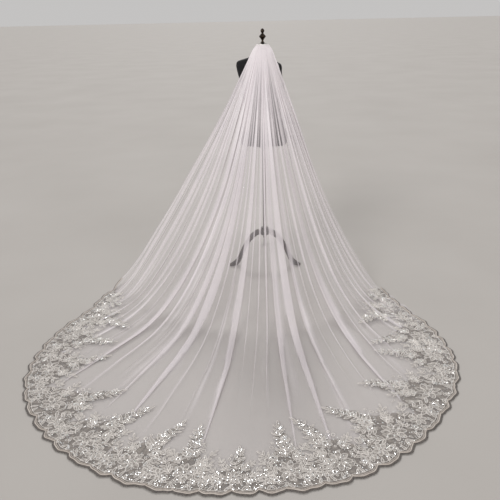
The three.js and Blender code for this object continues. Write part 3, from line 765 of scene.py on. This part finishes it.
def loop(spray, u, v, turn, length, wide, filled=True, width=CORD, steps=13):
    """A pointed petal or leaf that starts at (u, v) and points along turn."""
    a = np.linspace(0, 2 * pi, steps)
    along = length * (1 - np.cos(a)) / 2
    side = wide / 2 * np.sin(a) * (0.75 + 0.25 * np.cos(a + 0.6))
    c, s = cos(turn), sin(turn)
    outline = np.stack([u + along * s + side * c, v + along * c - side * s], axis=-1)
    cord_lines.append((spray, outline, width))
    if filled:
        fills.append((spray, outline))


def ring(spray, u, v, size, width=CORD, steps=15):
    a = np.linspace(0, 2 * pi, steps)
    outline = np.stack([u + size * np.cos(a), v + size * np.sin(a)], axis=-1)
    cord_lines.append((spray, outline, width))


def stem(spray, places, width=CORD * 0.8):
    """A smooth line through a few (u, v) places."""
    places = np.array(places, float)
    key = np.arange(len(places))
    fine = np.linspace(0, len(places) - 1, 5 * (len(places) - 1) + 1)
    sheet = {"key": key, "u": places[:, 0], "v": places[:, 1]}
    line = np.stack([smooth_read(sheet, "key", c, fine) for c in ("u", "v")], axis=-1)
    cord_lines.append((spray, line, width))


def open_flower(spray, u, v, size, petals, turn):
    """Petals round a small ring, with a stamen along each."""
    for k in range(petals):
        a = turn + 2 * pi * k / petals
        loop(spray, u + 0.30 * size * sin(a), v + 0.30 * size * cos(a), a, 0.74 * size, 0.62 * size)
        reach = 0.62 if k % 2 else 0.48
        stem(spray, [(u + 0.08 * size * sin(a + 0.2), v + 0.08 * size * cos(a + 0.2)),
                     (u + reach * size * sin(a + 0.2), v + reach * size * cos(a + 0.2))], CORD * 0.7)
    ring(spray, u, v, 0.20 * size, CORD * 0.9, 11)


def ring_flower(spray, u, v, size, lobes, turn):
    """Short lobes round a thick beaded ring."""
    ring(spray, u, v, 0.36 * size, CORD * 1.5)
    beaded.append((spray, u, v, 0.36 * size))
    for k in range(lobes):
        a = turn + 2 * pi * k / lobes
        loop(spray, u + 0.42 * size * sin(a), v + 0.42 * size * cos(a), a, 0.60 * size, 0.58 * size,
             width=CORD * 0.8, steps=10)


def leafy(spray, places, pairs, length, shrink, splay):
    """A curved stem with leaves in pairs, smaller towards its tip."""
    stem(spray, places)
    places = np.array(places, float)
    key = np.arange(len(places), dtype=float)
    for k in range(pairs):
        at = (k + 0.5) / pairs * (len(places) - 1)
        u, v = np.interp(at, key, places[:, 0]), np.interp(at, key, places[:, 1])
        ahead = [np.interp(at + 0.1, key, line) - np.interp(at - 0.1, key, line) for line in places.T]
        turn = atan2(ahead[0], ahead[1])
        size = length * (1 - shrink * k / pairs)
        for way in (1, -1):
            loop(spray, u, v, turn + way * (splay + 0.15 * draw.normal()), size * draw.uniform(0.85, 1.15),
                 size * 0.42)
    end = places[-1]
    ahead = end - places[-2]
    loop(spray, end[0], end[1], atan2(ahead[0], ahead[1]), length * 0.7, length * 0.3)


def tall_motifs(k, tip, size, flip):
    """The main stem with its leaves and tip, and the flowers up the middle of a spray."""
    small = tip < SMALL_SPRAY
    leafy(k, [(sway(k, 0.46 * tip), 0.46 * tip),
              (sway(k, 0.62 * tip) + 0.010 * flip, 0.62 * tip),
              (sway(k, 0.80 * tip) - 0.006 * flip, 0.80 * tip),
              (sway(k, tip) - 0.004, 0.94 * tip)], 5 if small else 7, 0.056 * size, 0.55, 0.95)
    open_flower(k, 0.012 * flip * size, 0.098 * size, 0.058 * size, 8, 0.2 * k)
    if not small:
        ring_flower(k, sway(k, 0.2) - 0.006 * flip, 0.212 * size, 0.033 * size, 7, 0.4 * k)
        ring_flower(k, sway(k, 0.29) + 0.014 * flip, 0.292 * size, 0.022 * size, 6, 0.3 * k)
        ring_flower(k, -0.058 * flip * size, 0.178 * size, 0.026 * size, 6, 0.5 * k)
        open_flower(k, 0.070 * flip * size, 0.165 * size, 0.030 * size, 6, 0.3 * k)


def side_motifs(k, size, flip, way, edge):
    """Two leafy stems, two rings and two flowers on one side of a spray."""
    leafy(k, [(way * 0.035 * size, 0.150 * size), (way * 0.075 * size, 0.176 * size),
              (way * min(0.105 * size, edge * 0.85), 0.215 * size + 0.01 * way * flip)],
          4, 0.040 * size, 0.35, 0.9)
    ring(k, way * 0.048 * size, 0.243 * size, 0.009 * size)
    ring(k, way * 0.037 * size, 0.272 * size, 0.006 * size)
    leafy(k, [(way * 0.055 * size, 0.085 * size), (way * edge * 0.62, 0.110 * size),
              (way * edge * 0.88, 0.155 * size)], 4, 0.042 * size, 0.3, 0.85)
    open_flower(k, way * edge * 0.80, 0.066, 0.040 * size, 7, 0.7 * k + way)
    ring_flower(k, way * edge * 0.52, 0.046, 0.024 * size, 6, 0.2 * k)


def edge_motifs(k, left, right):
    """Leaves, rings and a cord that follow the scalloped edge."""
    count = int(round((right - left) / LEAF_SPACING))
    for j in range(count):
        u = left + (j + 0.5) / count * (right - left)
        v = 0.012 - scallop(spray_middle[k] + u) * 0.55
        loop(k, u, v, 0.5 * (-1) ** j + 0.2 * draw.normal(), draw.uniform(0.026, 0.040), 0.014)
        if j % 3 == 0:
            ring(k, u + 0.012, v + 0.040, 0.0065)
    stem(k, [(u, 0.022 - scallop(spray_middle[k] + u) * 0.9) for u in np.linspace(left, right, 12)])


def loose_motifs(k, left, right, tip):
    """Leaves and rings that fill the ground between the others."""
    for j in range(12 if tip < SMALL_SPRAY else 30):
        v = draw.uniform(0.02, 0.62 * tip)
        room = 1 - ease(0.30, 0.75, v / tip) * 0.72
        u = draw.uniform(left, right) * 0.94 * room + sway(k, v)
        if j % 4 == 0:
            ring(k, u, v, draw.uniform(0.004, 0.008))
        else:
            loop(k, u, v, draw.uniform(-pi, pi), draw.uniform(0.018, 0.036), draw.uniform(0.008, 0.015),
                 filled=j % 3 == 0, width=CORD * 0.8, steps=9)


for k in range(SPRAY_COUNT):
    tip = SPRAYS["tip"][k]
    size = SPRAYS["size"][k]
    flip = 1 if k % 2 else -1
    tall_motifs(k, tip, size, flip)
    side_motifs(k, size, flip, -1, -spray_left[k])
    side_motifs(k, size, flip, 1, spray_right[k])
    edge_motifs(k, spray_left[k], spray_right[k])
    loose_motifs(k, spray_left[k], spray_right[k], tip)

cord_points = []
cord_faces = []
total = 0
for spray, line, width in cord_lines:
    ahead = np.gradient(line, axis=0)
    ahead /= np.maximum(np.linalg.norm(ahead, axis=1), 1e-9)[:, None]
    side = np.stack([ahead[:, 1], -ahead[:, 0]], axis=-1) * width / 2
    if np.allclose(line[0], line[-1]):
        side[0] = side[-1] = (side[0] + side[-1]) / 2
    for shift, ridge in ((side, 0), (0 * side, 0.45 * width), (-side, 0)):
        u, v = (line + shift).T
        cord_points.append(on_lace(spray, u, v, CORD_LIFT + ridge))
    n = len(line)
    i = np.arange(n - 1)
    for row in (0, 1):
        a = total + row * n + i
        cord_faces.append(np.stack([a, a + 1, a + n + 1, a + n], axis=-1))
    total += 3 * n

satin, tree, shader = material("lace_satin")
shader.inputs["Roughness"].default_value = 0.38
shader.inputs["Sheen Weight"].default_value = 0.5
shader.inputs["Specular IOR Level"].default_value = 0.6
twist = noise(tree, 700, 2.0)
tree.links.new(colours(tree, noise(tree, 30.0), (0.3, 0.54, 0.50, 0.465), (0.7, 0.80, 0.75, 0.705)),
               shader.inputs["Base Color"])
bump(tree, shader, twist, 0.4, 0.0005)
cords = mesh_object("lace_cords", np.concatenate(cord_points), np.concatenate(cord_faces), satin)
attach(cords, "root")

fill_points = []
fill_faces = []
total = 0
for spray, outline in fills:
    ringed = outline[:-1]
    n = len(ringed)
    whole = np.concatenate([ringed.mean(axis=0)[None, :], ringed])
    above = np.concatenate([[PETAL_DOME], np.full(n, PETAL_LIFT)])
    fill_points.append(on_lace(spray, whole[:, 0], whole[:, 1], above))
    i = np.arange(n)
    fill_faces.append(np.stack([np.full(n, total), total + 1 + i, total + 1 + (i + 1) % n], axis=-1))
    total += n + 1
# The petals' grey is painted shade over their milky white fill.
petal_paint = net_paint("petal_fill", (0.36, 0.325, 0.295), (0.60, 0.555, 0.515), 0.34, 0.74, 90, 700)
petals = mesh_object("lace_petals", np.concatenate(fill_points), np.concatenate(fill_faces), petal_paint)
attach(petals, "root")

# ---- Sequins ----
# Clear plastic sequins with a slight cup, about 4.5 mm across. Each is sewn on singly and
# sits at its own slant; they are closest near the hem and round the ring flowers.
SEQUIN = 0.0023          # radius
SEQUIN_SIDES = 7
CUP_DEPTH = 0.0004
SEQUINS_A_SPRAY = 230    # for a spray of size 1
USUAL_SLANT = 0.36       # in radians
STEEPEST = 0.8
places = []
sprays = []
for k in range(SPRAY_COUNT):
    tip = SPRAYS["tip"][k]
    for j in range(int(SEQUINS_A_SPRAY * SPRAYS["size"][k])):
        v = 0.004 + tip * 0.97 * draw.uniform() ** 1.5
        room = 1 - ease(0.28, 0.72, v / tip) * 0.78
        u = draw.uniform(spray_left[k], spray_right[k]) * room * 0.97 * (1 - 0.6 * ease(0.7, 1, v / tip))
        places.append((u + sway(k, v), v))
        sprays.append(k)
for spray, u, v, radius in beaded:
    for turn in np.linspace(0, 2 * pi, 11):
        places.append((u + radius * cos(turn), v + radius * sin(turn)))
        sprays.append(spray)
places = np.array(places)
sprays = np.array(sprays)
centres = np.concatenate([on_lace(k, *places[sprays == k].T, SEQUIN_LIFT) for k in range(SPRAY_COUNT)])
corner = np.arange(SEQUIN_SIDES) * 2 * pi / SEQUIN_SIDES
size = SEQUIN * draw.uniform(0.8, 1.25, len(centres))
slant = draw.uniform(0, 2 * pi, len(centres))
steep = np.minimum(draw.exponential(USUAL_SLANT, len(centres)), STEEPEST)
normal = np.stack([np.sin(steep) * np.cos(slant), np.sin(steep) * np.sin(slant), np.cos(steep)], axis=-1)
first = np.cross(normal, [0, 1.0, 0.01])
first /= np.linalg.norm(first, axis=1)[:, None]
second = np.cross(normal, first)
round_it = (np.cos(corner)[None, :, None] * first[:, None, :]
            + np.sin(corner)[None, :, None] * second[:, None, :])
rim = centres[:, None, :] + size[:, None, None] * round_it
cup = centres - normal * CUP_DEPTH
points = np.concatenate([cup[:, None, :], rim], axis=1).reshape(-1, 3)
i = np.arange(len(centres))[:, None] * (SEQUIN_SIDES + 1)
j = np.arange(SEQUIN_SIDES)[None, :]
faces = np.stack([i + 0 * j, i + 1 + j, i + 1 + (j + 1) % SEQUIN_SIDES], axis=-1).reshape(-1, 3)
clear, tree, shader = material("sequin_film")
shader.inputs["Metallic"].default_value = 0.45
shader.inputs["Roughness"].default_value = 0.13
tree.links.new(colours(tree, noise(tree, 45.0), (0.3, 0.80, 0.79, 0.80), (0.5, 0.97, 0.96, 0.94),
                       (0.7, 0.90, 0.94, 0.97)), shader.inputs["Base Color"])
bump(tree, shader, noise(tree, 800), 0.05, 0.0002)
sequins = mesh_object("sequins", points, faces[:, ::-1], clear)
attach(sequins, "root")

# ---- Hem edge ----
# Two satin cords are sewn along the scallops, a thick one and a thin one inland of it. The
# net is trimmed close outside them, which leaves a narrow, ragged rim, painted dark brown-grey as a
# painted shadow.
EDGE_STEPS = 1500
HEM_CORDS = ((-0.0150, 0.0030), (-0.0080, 0.0056))      # (place from the scallop's edge, width)
along = np.linspace(0, HEM_TOTAL, EDGE_STEPS)


def edge_points(outside, above):
    x, out = hem_point(along)
    side_x, side_out = inland(along)
    return on_train(x - outside * side_x, out - outside * side_out, above)


line = scallop(along)
lines = []
faces = []
for offset, width in HEM_CORDS:
    faces.append(grid_faces(4, EDGE_STEPS) + len(lines) * EDGE_STEPS)
    for shift, ridge in ((-1 / 2, 0), (-1 / 4, 0.42), (1 / 4, 0.42), (1 / 2, 0)):
        lines.append(edge_points(line + offset + shift * width, HEM_CORD_LIFT + ridge * width))
edge_satin, tree, shader = material("hem_satin")
shader.inputs["Roughness"].default_value = 0.4
shader.inputs["Sheen Weight"].default_value = 0.4
tree.links.new(colours(tree, noise(tree, 40.0), (0.3, 0.47, 0.405, 0.355), (0.7, 0.60, 0.535, 0.48)),
               shader.inputs["Base Color"])
bump(tree, shader, noise(tree, 700, 2.0), 0.4, 0.0005)
satin_edge = mesh_object("hem_cords", np.concatenate(lines), np.concatenate(faces), edge_satin)
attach(satin_edge, "root")
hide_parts(*[f"hem_edge_{s}" for s in STRETCHES])

# The rim's net is real; its dark brown-grey colour is painted shadow along the edge.
rim_shadow_paint = net_paint("hem_rim_shadow_net", (0.045, 0.037, 0.031), (0.12, 0.10, 0.086), 0.85, 1.0, 120, 500)
jag = 0.0012 * np.sin(along * 900) + 0.001 * np.sin(along * 413)
rim = [edge_points(line - 0.0060, 0.0018),
       edge_points(line - 0.0010, 0.0020),
       edge_points(line + 0.0052 + jag, 0.0008)]
hem_rim = mesh_object("hem_rim", np.concatenate(rim), grid_faces(3, EDGE_STEPS), rim_shadow_paint)
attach(hem_rim, "root")

# ---- Ribbon and comb ----
# A satin ribbon is folded over the gathered edge and stitched down. A moulded plastic comb
# is sewn under it to grip the hair.
BINDING = 0.0024         # half the ribbon's thickness where it is folded
BINDING_SIDES = 12
BINDING_STEPS = 90
ribbon, tree, shader = material("ribbon_satin")
shader.inputs["Roughness"].default_value = 0.35
shader.inputs["Sheen Weight"].default_value = 0.4
tree.links.new(colours(tree, noise(tree, 12.0, 3.0, (1, 1, 8)), (0.3, 0.84, 0.80, 0.79),
                       (0.7, 0.92, 0.89, 0.87)), shader.inputs["Base Color"])
bump(tree, shader, noise(tree, 420, 2.0, (1, 1, 0.2)), 0.25, 0.0006)
round_neck = np.radians(np.linspace(LEFT_EDGE, RIGHT_EDGE + SHOULDER_WRAP, BINDING_STEPS))
rings = []
for turn in np.linspace(0, 2 * pi, BINDING_SIDES, endpoint=False):
    r = TOP_RADIUS - DRAWN_IN + BINDING * np.cos(turn)
    z = np.full(BINDING_STEPS, TOP_HEIGHT + 0.008 + 1.8 * BINDING * np.sin(turn))
    rings.append(np.stack([r * np.sin(round_neck), -r * np.cos(round_neck), z], axis=-1))
points = np.stack(rings, axis=1).reshape(-1, 3) + np.array(UPRIGHT)
faces = [tuple(f)[::-1] for f in grid_faces(BINDING_STEPS, BINDING_SIDES, closed=True)]
last = BINDING_SIDES * (BINDING_STEPS - 1)
faces += [tuple(range(BINDING_SIDES)), tuple(last + j for j in reversed(range(BINDING_SIDES)))]
binding = mesh_object("ribbon_binding", points, faces, ribbon)
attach(binding, "root")
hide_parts("top_ribbon")
plastic, tree, shader = material("comb_plastic")
shader.inputs["Roughness"].default_value = 0.28
shader.inputs["Coat Weight"].default_value = 0.3
tree.links.new(colours(tree, noise(tree, 60.0), (0.3, 0.66, 0.65, 0.62), (0.7, 0.74, 0.73, 0.71)),
               shader.inputs["Base Color"])
bump(tree, shader, noise(tree, 300.0), 0.1, 0.0004)
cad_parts["veil_comb"].data.materials.clear()
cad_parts["veil_comb"].data.materials.append(plastic)
